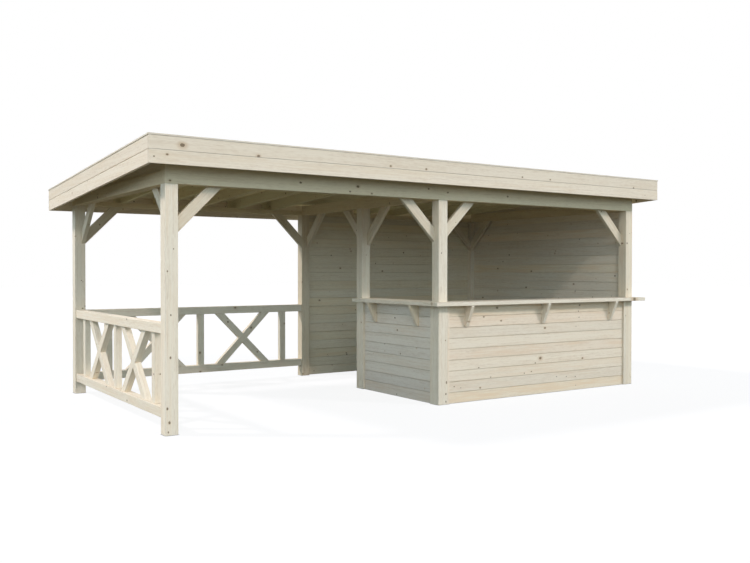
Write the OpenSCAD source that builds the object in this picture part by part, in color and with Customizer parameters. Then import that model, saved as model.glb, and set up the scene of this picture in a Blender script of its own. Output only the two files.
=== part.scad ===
// Timber garden gazebo with a bar, in millimetres, +Z up.
// A lean-to roof stands on seven posts. The left bay is open, with crossed
// railings at its side and back. The right bay has board walls and a counter
// that turns the corner of the middle post.

/* [Frame] */
// Length over the outer faces of the corner posts
frame_l = 5950; // [5000:10:7500]
// Depth over the outer faces of the corner posts
frame_d = 3040; // [2600:10:4000]
// Side of the square posts, and the width of the beams on them
post_s = 115; // [95:1:140]
// Height of the posts, which is the underside of every beam
post_h = 2131; // [1950:1:2600]
// Open bay, from the left posts to the cross frame, centre to centre
open_bay_c = 2917.5; // [2300:0.5:3500]
// Return of the bar, from the front post to its end post, centre to centre
return_c = 1462.5; // [1150:0.5:1900]

/* [Beams] */
// Height of the front beam
front_beam_h = 209; // [160:1:300]
// Height of the side beams and of the cross beam
side_beam_h = 115; // [90:1:140]

/* [Roof] */
// Fall of the roof towards the back, in degrees
roof_fall = 3.05; // [2:0.05:4]
// Overhang past the posts on every side, to the outside of the edge trim
overhang = 214; // [150:1:350]
// Depth of a rafter
rafter_h = 120; // [100:1:180]
// Thickness of a rafter
rafter_t = 45; // [35:1:80]
// Spacing wished for between rafters
rafter_pitch = 490; // [400:10:900]
// Depth of the flat seats that the rafters have on the front and the back beam
seat_cut = 10; // [5:1:20]
// Thickness of the roof boards
deck_t = 20; // [18:1:35]
// Cover width of a roof board
deck_board_w = 121; // [90:1:200]

/* [Roof edge] */
// Height of the roof edge, trim included
fascia_h = 243; // [200:1:320]
// Height of the lower edge board
fascia_low_h = 114; // [90:1:140]
// Thickness of the edge boards
fascia_t = 28; // [18:1:40]
// Joint between the two edge boards
fascia_seam = 2; // [1:0.5:5]
// Stand of the roof edge above the roof boards
fascia_up = 25; // [18:1:60]
// Height of the trim along the top of the edge boards
trim_h = 14; // [8:1:18]
// Projection of the trim past the edge boards
trim_over = 5; // [2:1:15]

/* [Braces] */
// Leg of a brace along its post
brace_rise = 432; // [300:1:600]
// Leg of a brace along its beam
brace_run = 432; // [300:1:600]
// Width of a brace across its length
brace_w = 100; // [60:1:140]
// Thickness of a brace
brace_t = 43; // [30:1:43]

/* [Board walls] */
// Thickness of the wall boards
board_t = 28; // [18:1:28]
// Cover height of a wall board
board_h = 114; // [90:1:180]
// Depth of the groove between boards
groove_d = 3; // [1:0.5:6]
// Width of the groove between boards
groove_w = 6; // [2:0.5:12]
// Width of the battens that hold the board ends
batten_w = 30; // [15:1:60]
// Thickness of those battens, which lie flush with the posts outside the boards
batten_t = 21; // [10:1:30]

/* [Counter] */
// Height of the counter's top
counter_z = 1070; // [900:5:1200]
// Thickness of the counter boards
counter_t = 40; // [25:1:60]
// Overhang of the counter past both faces of the posts
counter_over = 100; // [40:1:180]
// Length of the counter past the front right post
counter_end = 130; // [20:1:160]
// Thickness of a counter bracket
bracket_t = 40; // [20:1:60]
// Projection of a bracket from the wall boards
bracket_d = 117; // [60:1:130]
// Height of a bracket
bracket_h = 228; // [120:1:320]
// Depth of a bracket at its foot
bracket_toe = 20; // [5:1:40]
// Height of a bracket at its nose
bracket_nose = 15; // [5:1:40]
// Place of the outer brackets, from a post to the bracket's middle
bracket_inset = 272; // [120:1:400]

/* [Railings] */
// Height of the top rail's upper face
rail_z = 946; // [850:1:1100]
// Height of the bottom rail's lower face
rail_foot_z = 136; // [60:1:250]
// Height of both rails
rail_h = 90; // [60:1:110]
// Depth of both rails
rail_d = 95; // [70:1:95]
// Width of the uprights and diagonals
infill_w = 80; // [50:1:90]
// Depth of the uprights and diagonals
infill_d = 60; // [40:1:70]
// Place of the outer uprights, from a post to the upright's middle
upright_inset = 272; // [120:1:350]
// Run of a diagonal from the bottom rail to the top rail
cross_run = 622; // [450:1:650]

/* [Hidden] */

// Colours of the bare spruce, by piece
post_tone = [0.90, 0.87, 0.80];
beam_tone = [0.80, 0.77, 0.69];
roof_tone = [0.62, 0.56, 0.44];
fascia_tone = [0.92, 0.89, 0.82];
trim_tone = [0.84, 0.81, 0.74];
brace_tone = [0.86, 0.82, 0.72];
wall_tone = [0.86, 0.82, 0.74];
counter_tone = [0.87, 0.84, 0.76];
rail_tone = [0.89, 0.85, 0.78];

// Overrun of every cut
overrun = 1;

// Post lines
half_l = frame_l / 2;
half_d = frame_d / 2;
half_p = post_s / 2;
left_x = half_p - half_l;
right_x = half_l - half_p;
front_y = half_p - half_d;
back_y = half_d - half_p;
cross_x = left_x + open_bay_c;
return_y = front_y + return_c;

// Roof planes, by their height at a place along Y
fall = tan(roof_fall);
seat_z = post_h + front_beam_h - seat_cut;
function rafter_z(y) = seat_z - (y - front_y) * fall;
function deck_z(y) = rafter_z(y) + rafter_h;
function edge_z(y) = deck_z(y) + deck_t + fascia_up;

// Height of the back beam, which comes up to the rafters' seats
back_beam_h = rafter_z(back_y) + seat_cut - post_h;

// Roof edge lines: outside of the trim, outside and inside of the boards
edge_x = half_l + overhang;
edge_y = half_d + overhang;
fascia_x = edge_x - trim_over;
fascia_y = edge_y - trim_over;
inner_x = fascia_x - fascia_t;
inner_y = fascia_y - fascia_t;

// Braces: length of the square-cut ends on the post and under the beam
brace_deg = atan(brace_rise / brace_run);
brace_end_rise = brace_w / cos(brace_deg);
brace_end_run = brace_w / sin(brace_deg);

// Board walls: outer face and middle of the boards, from the post lines outwards
wall_face = half_p - batten_t;
wall_mid = wall_face - board_t / 2;

// Counter: underside, outer and inner corner at the middle post
counter_low = counter_z - counter_t;
counter_out = [cross_x - half_p - counter_over, -half_d - counter_over];
counter_in = [cross_x + half_p + counter_over, front_y + half_p + counter_over];

// Railings: clear height between the rails, and the diagonals' end cuts
rail_gap = rail_z - rail_foot_z - 2 * rail_h;
rail_gap_z = rail_foot_z + rail_h;
cross_cut = infill_w / sin(atan(rail_gap / cross_run));
railing_left_l = frame_d - 2 * post_s;
railing_back_l = open_bay_c - post_s;

// Box between two opposite corners
module block(low, high) {
    translate(low)
        cube(high - low);
}

// Outline in X and Z, thickened along Y from y
module in_xz(y, thick) {
    translate([0, y + thick, 0])
        rotate([90, 0, 0])
            linear_extrude(height = thick)
                children();
}

// Outline in Y and Z, thickened along X from x
module in_yz(x, thick) {
    translate([x, 0, 0])
        rotate([90, 0, 90])
            linear_extrude(height = thick)
                children();
}

// Square post on its centre
module post(x, y) {
    color(post_tone)
        block([x - half_p, y - half_p, 0], [x + half_p, y + half_p, post_h]);
}

// Beam above the posts, from one end to the other, on its centre line
module beam_x(y, high) {
    color(beam_tone)
        block([-half_l, y - half_p, post_h], [half_l, y + half_p, post_h + high]);
}

module beam_y(x) {
    color(beam_tone)
        block([x - half_p, front_y + half_p, post_h],
              [x + half_p, back_y - half_p, post_h + side_beam_h]);
}

// Side view of a piece that follows the roof between two heights below its edge
module edge_strip(y0, y1, low, high) {
    polygon([[y0, edge_z(y0) - low], [y1, edge_z(y1) - low],
             [y1, edge_z(y1) - high], [y0, edge_z(y0) - high]]);
}

// One rafter at x, notched over the front and the back beam
module rafter(x) {
    depth = fascia_up + deck_t;
    difference() {
        in_yz(x - rafter_t / 2, rafter_t)
            edge_strip(-inner_y, inner_y, depth + rafter_h, depth);
        beam_x(front_y, front_beam_h);
        beam_x(back_y, back_beam_h);
    }
}

// Rafters spread evenly between two frame lines, without one on the lines
module rafter_row(x0, x1) {
    count = max(1, round((x1 - x0) / rafter_pitch));
    color(roof_tone)
        for (i = [1 : 1 : count - 1])
            rafter(x0 + i * (x1 - x0) / count);
}

// Roof boards as one slab along X, grooved below at every board
module deck_profile() {
    count = floor((2 * inner_y - groove_w) / deck_board_w);
    half_w = groove_w / 2;
    groove = [
        for (i = [count : -1 : 1])
            let (y = i * deck_board_w - inner_y)
                each [[y + half_w, deck_z(y + half_w)], [y, deck_z(y) + groove_d],
                      [y - half_w, deck_z(y - half_w)]]
    ];
    polygon(concat(
        [[-inner_y, deck_z(-inner_y)], [-inner_y, deck_z(-inner_y) + deck_t],
         [inner_y, deck_z(inner_y) + deck_t], [inner_y, deck_z(inner_y)]],
        groove));
}

// The two boards of a roof edge along X, with their outer face at y
module fascia_pair_x(y0, y1, top) {
    color(fascia_tone) {
        block([-fascia_x, y0, top - fascia_h], [fascia_x, y1, top - fascia_h + fascia_low_h]);
        block([-fascia_x, y0, top - fascia_h + fascia_low_h + fascia_seam],
              [fascia_x, y1, top - trim_h]);
    }
}

// The two boards of a sloping roof edge, from x outwards
module fascia_pair_y(x) {
    color(fascia_tone)
        in_yz(x, fascia_t) {
            edge_strip(-inner_y, inner_y, fascia_h, fascia_h - fascia_low_h);
            edge_strip(-inner_y, inner_y, fascia_h - fascia_low_h - fascia_seam, trim_h);
        }
}

// Side view of a brace with its corner at the origin, leaning along +X or -X
module brace_outline(lean) {
    polygon([[0, -brace_rise], [lean * brace_run, 0],
             [lean * (brace_run - brace_end_run), 0], [0, brace_end_rise - brace_rise]]);
}

// Brace along X, on the post face at x, from y backwards
module brace_x(x, y, lean) {
    color(brace_tone)
        translate([x, 0, post_h])
            in_xz(y, brace_t)
                brace_outline(lean);
}

// Brace along Y, on the post face at y, from x to the right
module brace_y(x, y, lean) {
    color(brace_tone)
        translate([0, y, post_h])
            in_yz(x, brace_t)
                brace_outline(lean);
}

// Cross-section of a board wall on its centre line, grooved on both faces
module wall_profile(high) {
    count = floor((high - groove_w) / board_h);
    half_t = board_t / 2;
    half_w = groove_w / 2;
    rising = [
        for (i = [1 : 1 : count])
            each [[half_t, i * board_h - half_w], [half_t - groove_d, i * board_h],
                  [half_t, i * board_h + half_w]]
    ];
    falling = [
        for (i = [count : -1 : 1])
            each [[-half_t, i * board_h + half_w], [groove_d - half_t, i * board_h],
                  [-half_t, i * board_h - half_w]]
    ];
    polygon(concat([[half_t, 0]], rising, [[half_t, high], [-half_t, high]],
                   falling, [[-half_t, 0]]));
}

// Board wall along X between two post faces, with its middle on the line y
module wall_x(x0, x1, y, high) {
    color(wall_tone)
        in_yz(x0, x1 - x0)
            translate([y, 0])
                wall_profile(high);
}

// Board wall along Y between two post faces, with its middle on the line x
module wall_y(y0, y1, x, high) {
    color(wall_tone)
        in_xz(y0, y1 - y0)
            translate([x, 0])
                wall_profile(high);
}

// Battens at both ends of a wall along X, from y backwards
module battens_x(x0, x1, y, high) {
    for (x = [x0, x1 - batten_w])
        block([x, y, 0], [x + batten_w, y + batten_t, high]);
}

// Battens at both ends of a wall along Y, from x to the right
module battens_y(y0, y1, x, high) {
    for (y = [y0, y1 - batten_w])
        block([x, y, 0], [x + batten_t, y + batten_w, high]);
}

// Side view of a counter bracket, which projects along -X from the origin
module bracket_outline() {
    polygon([[0, 0], [-bracket_d, 0], [-bracket_d, -bracket_nose],
             [-bracket_toe, -bracket_h], [0, -bracket_h]]);
}

// Rails of a railing, along X from the origin, on its centre line
module rails(long) {
    for (z = [rail_foot_z, rail_z - rail_h])
        block([0, -rail_d / 2, z], [long, rail_d / 2, z + rail_h]);
}

// Middles of the uprights of a railing
function upright_places(long) = [upright_inset, long / 2, long - upright_inset];

module uprights(long) {
    for (x = upright_places(long))
        block([x - infill_w / 2, -infill_d / 2, rail_gap_z],
              [x + infill_w / 2, infill_d / 2, rail_gap_z + rail_gap]);
}

// One diagonal between the rails, rising along +X or -X, between two depths
module diagonal(lean, depth0, depth1) {
    foot = -lean * cross_run / 2;
    half_cut = cross_cut / 2;
    translate([0, 0, rail_gap_z])
        in_xz(depth0, depth1 - depth0)
            polygon([[foot - half_cut, 0], [foot + half_cut, 0],
                     [half_cut - foot, rail_gap], [-foot - half_cut, rail_gap]]);
}

// Diagonals of one lean in both fields, halved into those of the other lean:
// the rising ones keep their inner half at the crossing, the falling their outer
module diagonals(long, lean) {
    places = upright_places(long);
    half_t = infill_d / 2;
    for (i = [0 : 1 : 1])
        translate([(places[i] + places[i + 1]) / 2, 0, 0])
            difference() {
                diagonal(lean, -half_t, half_t);
                if (lean > 0)
                    diagonal(-lean, 0, half_t + overrun);
                else
                    diagonal(-lean, -half_t - overrun, 0);
            }
}

// Places of the two railings, along the side and along the back of the open bay
module at_left() {
    color(rail_tone)
        translate([left_x, front_y + half_p, 0])
            rotate([0, 0, 90])
                children();
}

module at_back() {
    color(rail_tone)
        translate([left_x + half_p, back_y, 0])
            children();
}

module post_front_left() {
    post(left_x, front_y);
}

module post_front_middle() {
    post(cross_x, front_y);
}

module post_front_right() {
    post(right_x, front_y);
}

module post_back_left() {
    post(left_x, back_y);
}

module post_back_middle() {
    post(cross_x, back_y);
}

module post_back_right() {
    post(right_x, back_y);
}

module post_bar_return() {
    post(cross_x, return_y);
}

module front_beam() {
    beam_x(front_y, front_beam_h);
}

module back_beam() {
    beam_x(back_y, back_beam_h);
}

module left_beam() {
    beam_y(left_x);
}

module right_beam() {
    beam_y(right_x);
}

module cross_beam() {
    beam_y(cross_x);
}

module rafters_open_bay() {
    rafter_row(left_x, cross_x);
    color(roof_tone)
        rafter(rafter_t / 2 - inner_x);
}

module rafters_bar_bay() {
    rafter_row(cross_x, right_x);
    color(roof_tone)
        rafter(inner_x - rafter_t / 2);
}

module roof_boards() {
    color(roof_tone)
        in_yz(-inner_x, 2 * inner_x)
            deck_profile();
}

module gable_boards() {
    y0 = front_y + half_p;
    y1 = back_y - half_p;
    color(wall_tone)
        for (x = [left_x, right_x])
            in_yz(x - board_t / 2, board_t)
                polygon([[y0, post_h + side_beam_h], [y1, post_h + side_beam_h],
                         [y1, deck_z(y1)], [y0, deck_z(y0)]]);
}

module fascia_front() {
    fascia_pair_x(-fascia_y, -inner_y, edge_z(-edge_y));
}

module fascia_back() {
    fascia_pair_x(inner_y, fascia_y, edge_z(edge_y));
}

module fascia_left() {
    fascia_pair_y(-fascia_x);
}

module fascia_right() {
    fascia_pair_y(inner_x);
}

module edge_trim_long() {
    color(trim_tone) {
        block([-edge_x, -edge_y, edge_z(-edge_y) - trim_h], [edge_x, -inner_y, edge_z(-edge_y)]);
        block([-edge_x, inner_y, edge_z(edge_y) - trim_h], [edge_x, edge_y, edge_z(edge_y)]);
    }
}

module edge_trim_short() {
    color(trim_tone)
        for (x = [-edge_x, inner_x])
            in_yz(x, edge_x - inner_x)
                edge_strip(-inner_y, inner_y, trim_h, 0);
}

module braces_front() {
    y = front_y + half_p - brace_t;
    brace_x(left_x + half_p, y, 1);
    brace_x(cross_x - half_p, y, -1);
    brace_x(cross_x + half_p, y, 1);
    brace_x(right_x - half_p, y, -1);
}

module braces_back() {
    y = back_y - half_p;
    brace_x(left_x + half_p, y, 1);
    brace_x(cross_x - half_p, y, -1);
    brace_x(right_x - half_p, y, -1);
}

module braces_left() {
    x = left_x + half_p - brace_t;
    brace_y(x, front_y + half_p, 1);
    brace_y(x, back_y - half_p, -1);
}

module braces_right() {
    brace_y(right_x - half_p, back_y - half_p, -1);
}

module braces_cross() {
    x = cross_x + half_p - brace_t;
    brace_y(x, back_y - half_p, -1);
    brace_y(x, return_y + half_p, 1);
    brace_y(x, return_y - half_p, -1);
}

module wall_back() {
    wall_x(cross_x + half_p, right_x - half_p, back_y + wall_mid, post_h);
}

module wall_right() {
    wall_y(front_y + half_p, back_y - half_p, right_x + wall_mid, post_h);
}

module wall_bar_front() {
    wall_x(cross_x + half_p, right_x - half_p, front_y - wall_mid, counter_low);
}

module wall_bar_return() {
    wall_y(front_y + half_p, return_y - half_p, cross_x - wall_mid, counter_low);
}

module battens_bar() {
    color(wall_tone) {
        battens_x(cross_x + half_p, right_x - half_p, front_y - half_p, counter_low);
        battens_y(front_y + half_p, return_y - half_p, cross_x - half_p, counter_low);
    }
}

module battens_rear() {
    color(wall_tone) {
        battens_x(cross_x + half_p, right_x - half_p, back_y + wall_face, post_h);
        battens_y(front_y + half_p, back_y - half_p, right_x + wall_face, post_h);
    }
}

// Front counter board, mitred at the middle post and let in round the posts
module counter_front() {
    out_y = -half_d;
    in_y = front_y + half_p;
    end_x = half_l + counter_end;
    color(counter_tone)
        translate([0, 0, counter_low])
            linear_extrude(height = counter_t)
                polygon([counter_out, [end_x, counter_out[1]], [end_x, in_y],
                         [half_l, in_y], [half_l, out_y],
                         [right_x - half_p, out_y], [right_x - half_p, counter_in[1]],
                         counter_in, [cross_x + half_p, in_y],
                         [cross_x + half_p, out_y], [cross_x - half_p, out_y]]);
}

// Return counter board, from the mitre to the middle of its end post
module counter_return() {
    out_y = -half_d;
    in_y = front_y + half_p;
    end_y = return_y - half_p;
    color(counter_tone)
        translate([0, 0, counter_low])
            linear_extrude(height = counter_t)
                polygon([counter_out, [cross_x - half_p, out_y], [cross_x - half_p, in_y],
                         [cross_x + half_p, in_y], counter_in, [counter_in[0], return_y],
                         [cross_x + half_p, return_y], [cross_x + half_p, end_y],
                         [cross_x - half_p, end_y], [cross_x - half_p, return_y],
                         [counter_out[0], return_y]]);
}

module brackets_front() {
    x0 = cross_x + half_p;
    x1 = right_x - half_p;
    color(counter_tone)
        for (x = [x0 + bracket_inset, (x0 + x1) / 2, x1 - bracket_inset])
            translate([0, front_y - wall_face, counter_low])
                in_yz(x - bracket_t / 2, bracket_t)
                    bracket_outline();
}

module brackets_return() {
    y0 = front_y + half_p;
    y1 = return_y - half_p;
    color(counter_tone)
        for (y = [y0 + bracket_inset, y1 - bracket_inset])
            translate([cross_x - wall_face, 0, counter_low])
                in_xz(y - bracket_t / 2, bracket_t)
                    bracket_outline();
}

module railing_left_rails() {
    at_left()
        rails(railing_left_l);
}

module railing_left_uprights() {
    at_left()
        uprights(railing_left_l);
}

module railing_left_rising() {
    at_left()
        diagonals(railing_left_l, 1);
}

module railing_left_falling() {
    at_left()
        diagonals(railing_left_l, -1);
}

module railing_back_rails() {
    at_back()
        rails(railing_back_l);
}

module railing_back_uprights() {
    at_back()
        uprights(railing_back_l);
}

module railing_back_rising() {
    at_back()
        diagonals(railing_back_l, 1);
}

module railing_back_falling() {
    at_back()
        diagonals(railing_back_l, -1);
}

post_front_left();
post_front_middle();
post_front_right();
post_back_left();
post_back_middle();
post_back_right();
post_bar_return();
front_beam();
back_beam();
left_beam();
right_beam();
cross_beam();
rafters_open_bay();
rafters_bar_bay();
roof_boards();
gable_boards();
fascia_front();
fascia_back();
fascia_left();
fascia_right();
edge_trim_long();
edge_trim_short();
braces_front();
braces_back();
braces_left();
braces_right();
braces_cross();
wall_back();
wall_right();
wall_bar_front();
wall_bar_return();
battens_bar();
battens_rear();
counter_front();
counter_return();
brackets_front();
brackets_return();
railing_left_rails();
railing_left_uprights();
railing_left_rising();
railing_left_falling();
railing_back_rails();
railing_back_uprights();
railing_back_rising();
railing_back_falling();
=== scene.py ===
"""Dressed model of a timber garden gazebo with a bar.

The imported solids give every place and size. Each timber is built again as a
real board, beam or post, with eased arrises, its own grain and its own knots.
"""
import logging
import math
import random
from dataclasses import dataclass, field
from enum import Enum
from typing import Sequence

import bmesh
import bpy
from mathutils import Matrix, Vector


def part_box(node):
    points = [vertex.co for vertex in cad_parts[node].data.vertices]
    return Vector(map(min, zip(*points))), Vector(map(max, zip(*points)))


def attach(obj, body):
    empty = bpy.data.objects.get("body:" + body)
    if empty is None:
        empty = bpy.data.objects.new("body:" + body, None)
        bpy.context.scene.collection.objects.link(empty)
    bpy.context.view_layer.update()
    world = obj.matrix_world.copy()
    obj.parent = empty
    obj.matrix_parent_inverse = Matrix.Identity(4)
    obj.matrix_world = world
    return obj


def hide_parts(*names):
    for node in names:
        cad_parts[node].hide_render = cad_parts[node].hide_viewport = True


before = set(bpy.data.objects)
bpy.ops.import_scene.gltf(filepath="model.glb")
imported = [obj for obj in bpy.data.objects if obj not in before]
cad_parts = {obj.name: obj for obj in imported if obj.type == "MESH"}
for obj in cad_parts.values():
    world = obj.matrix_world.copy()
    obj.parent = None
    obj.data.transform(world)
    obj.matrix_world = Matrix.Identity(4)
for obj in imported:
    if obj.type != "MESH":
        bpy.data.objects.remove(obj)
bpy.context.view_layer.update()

LOG = logging.getLogger("gazebo")

Triple = tuple[float, float, float]
Colour = Triple
Flat = tuple[float, float]
Cell = tuple[Sequence[Flat], float, float]
Socket = bpy.types.NodeSocket

EAST = Vector((1.0, 0.0, 0.0))
NORTH = Vector((0.0, 1.0, 0.0))
UP = Vector((0.0, 0.0, 1.0))

# Fall of the roof over its depth, for the rafters, the boards and the edges.
FALL = math.tan(math.radians(3.05))


class Cut(Enum):
    """Plane in which the outline of a timber is drawn."""

    FACE = "length and width"
    SECTION = "width and thickness"


class Heart(Enum):
    """Where the heart of the tree lies in a timber."""

    BOXED = "inside the section"
    BEHIND = "behind the face, as in a board sawn from the side"


class Lean(Enum):
    """Which way a brace or a diagonal climbs along its frame."""

    RISING = 1
    FALLING = -1


class Tint(Enum):
    """Cast of a single timber beside the usual colour."""

    PALE = (1.0, 1.0, 1.0)
    COOL = (0.985, 0.988, 0.995)
    DULL = (0.925, 0.925, 0.940)
    TAN = (1.0, 0.982, 0.945)
    PINK = (1.0, 0.972, 0.960)
    # Darker, warmer cast: painted shade for a timber that stands in shadow.
    DEEP = (0.900, 0.865, 0.800)


@dataclass(frozen=True)
class Knot:
    """Knot that shows on the face of a timber.

    Attributes:
        along: Place along the timber, from its middle.
        across: Place across its width, from its middle.
        radius: Radius of the core.
    """

    along: float
    across: float
    radius: float = 0.008


# Most chosen knots on a timber, and the place of those that it doesn't have.
KNOTS = 8
AWAY = Knot(99.0, 99.0)

# How often chance gives a timber each cast, in the order of Tint.
TINT_CHANCES = (6, 3, 1, 2, 2, 0)

# Ranges that chance draws from: a timber's start along its tree, its place off
# the heart in half sizes, and the depth of the heart behind a side board.
TREE = (0.0, 60.0)
OFF_HEART = (-0.4, 0.4)
OFF_BOARD = (-0.5, 0.5)
BEHIND = (0.025, 0.075)

# Ranges of a timber's flush, if its cast is warm or not, share of knots and tone.
WARM_FLUSH = (0.5, 1.0)
PLAIN_FLUSH = (0.1, 0.6)
KNOTTY = (0.5, 1.5)
TONE = (-1.0, 1.0)

# Least angle of an arris that is eased and largest angle of a flat joint, in
# radians, and the distance and digits within which two places are the same.
SHARP = 0.3
LEVEL = math.radians(0.5)
SAME = 1e-6
DIGITS = 6


class Pattern(Enum):
    """Scale of a pattern in the wood, along, across and through a timber."""

    DRIFT = (0.9, 5.0, 5.0)
    FIBRE = (9.0, 950.0, 950.0)
    STREAK = (2.6, 85.0, 85.0)
    FLAME = (1.0, 26.0, 26.0)
    MOTTLE = (16.0, 75.0, 75.0)
    PATCH = (1.6, 14.0, 14.0)
    RAGGED = (160.0, 160.0, 160.0)
    YEARS = (0.0, 70.0, 0.0)


class NodeSheet:
    """Node tree, written a node at a time."""

    def __init__(self, tree: bpy.types.NodeTree) -> None:
        """Start on a tree, emptied of its nodes."""
        self.tree = tree
        tree.nodes.clear()

    def put(self, socket: Socket, value: object) -> None:
        """Link a socket to an input, or set a constant on it.

        Args:
            socket: Input to fill.
            value: Output socket, number, vector or colour.
        """
        if isinstance(value, Socket):
            self.tree.links.new(value, socket)
        elif value is not None:
            socket.default_value = (*value, 1.0) if socket.type == "RGBA" else value

    def node(self, kind: str, **values: object) -> bpy.types.Node:
        """Add a node.

        Args:
            kind: Kind of node, as Blender names it after "ShaderNode".
            **values: Settings, in lower case, and inputs, by name with _ for a space.

        Returns:
            The node.
        """
        node = self.tree.nodes.new(f"ShaderNode{kind}")
        for name, value in values.items():
            if name.islower():
                setattr(node, name, value)
            else:
                self.put(node.inputs[name.replace("_", " ")], value)
        return node

    def fill(self, node: bpy.types.Node, *values: object) -> Socket:
        """Fill the inputs of a node in their order.

        Args:
            node: The node.
            *values: Output sockets or constants.

        Returns:
            Its first output.
        """
        for socket, value in zip(node.inputs, values):
            self.put(socket, value)
        return node.outputs[0]

    def note(self, name: str) -> Socket:
        """Read the vector that the mesh carries under a name."""
        return self.node("Attribute", attribute_name=name).outputs["Vector"]

    def sum(self, kind: str, *values: object, clamp: bool = False) -> Socket:
        """Add a math node, whose result stays between 0 and 1 if clamped."""
        return self.fill(self.node("Math", operation=kind, use_clamp=clamp), *values)

    def vec(self, kind: str, *values: object) -> Socket:
        """Add a vector math node.

        Args:
            kind: Operation.
            *values: Its inputs.

        Returns:
            The vector output, or the value output of a length or a dot product.
        """
        node = self.node("VectorMath", operation=kind)
        self.fill(node, *values)
        return node.outputs["Value" if kind in ("LENGTH", "DOT_PRODUCT") else "Vector"]

    def split(self, vector: Socket) -> tuple[Socket, ...]:
        """Take a vector apart into three value outputs."""
        return tuple(self.node("SeparateXYZ", Vector=vector).outputs)

    def join(self, x: object, y: object, z: object) -> Socket:
        """Put a vector together from three parts."""
        return self.node("CombineXYZ", X=x, Y=y, Z=z).outputs[0]

    def cloud(self, place: Socket, pattern: Pattern, detail: float = 2.0,
              rough: float = 0.5) -> bpy.types.NodeOutputs:
        """Add a noise texture with its octaves and the weight of the finer ones."""
        return self.node("TexNoise", Vector=self.vec("MULTIPLY", place, pattern.value), Scale=1.0,
                         Detail=detail, Roughness=rough).outputs

    def step(self, value: object, start: float, end: float, low: float = 0.0, high: float = 1.0) -> Socket:
        """Add a smooth step from low at the start to high at the end."""
        node = self.node("MapRange", interpolation_type="SMOOTHSTEP")
        return self.fill(node, value, start, end, low, high)

    def blend(self, share: object, a: object, b: object,
              kind: str = "MIX") -> Socket:
        """Mix two colours.

        Args:
            share: Share of the second colour.
            a: First colour.
            b: Second colour.
            kind: Way of mixing.

        Returns:
            The colour output.
        """
        # The colour inputs of a mix node are 6 and 7, its colour output is 2.
        node = self.node("Mix", data_type="RGBA", blend_type=kind)
        for index, value in ((0, share), (6, a), (7, b)):
            self.put(node.inputs[index], value)
        return node.outputs[2]


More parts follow.
